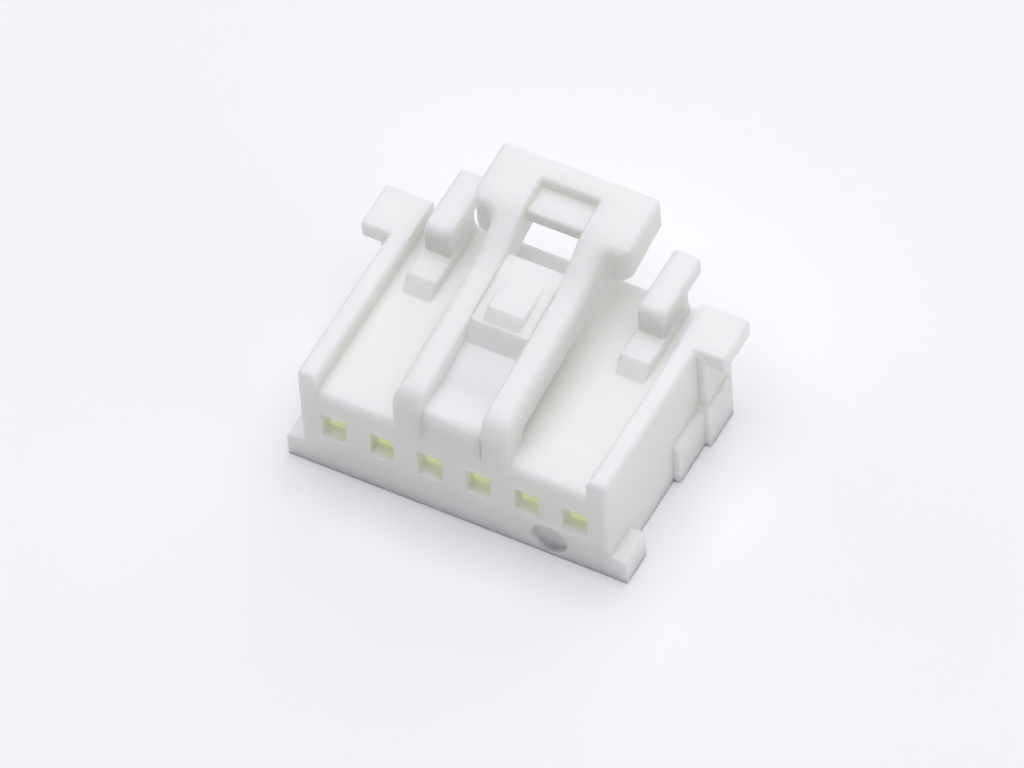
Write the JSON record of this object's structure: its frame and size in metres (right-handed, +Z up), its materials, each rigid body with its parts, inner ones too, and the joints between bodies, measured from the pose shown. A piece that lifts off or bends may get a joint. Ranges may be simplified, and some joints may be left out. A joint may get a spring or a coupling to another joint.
{
  "type": "wire to board connector housing",
  "caption": "Single-row receptacle housing with a cantilever latch on top, pin windows in the mating face and open terminal cavities at the wire side.",
  "frame": {"origin": "centre of the footprint, on the flat underside", "axes": "+X along the row of terminals, +Y from the mating face towards the wire side, +Z up through the latch"},
  "size_m": [0.0114, 0.0082, 0.0063],
  "materials": {
    "housing": "natural white moulded plastic, slightly translucent"
  },
  "bodies": {
    "root": {"housing": "housing"}
  },
  "joints": []
}
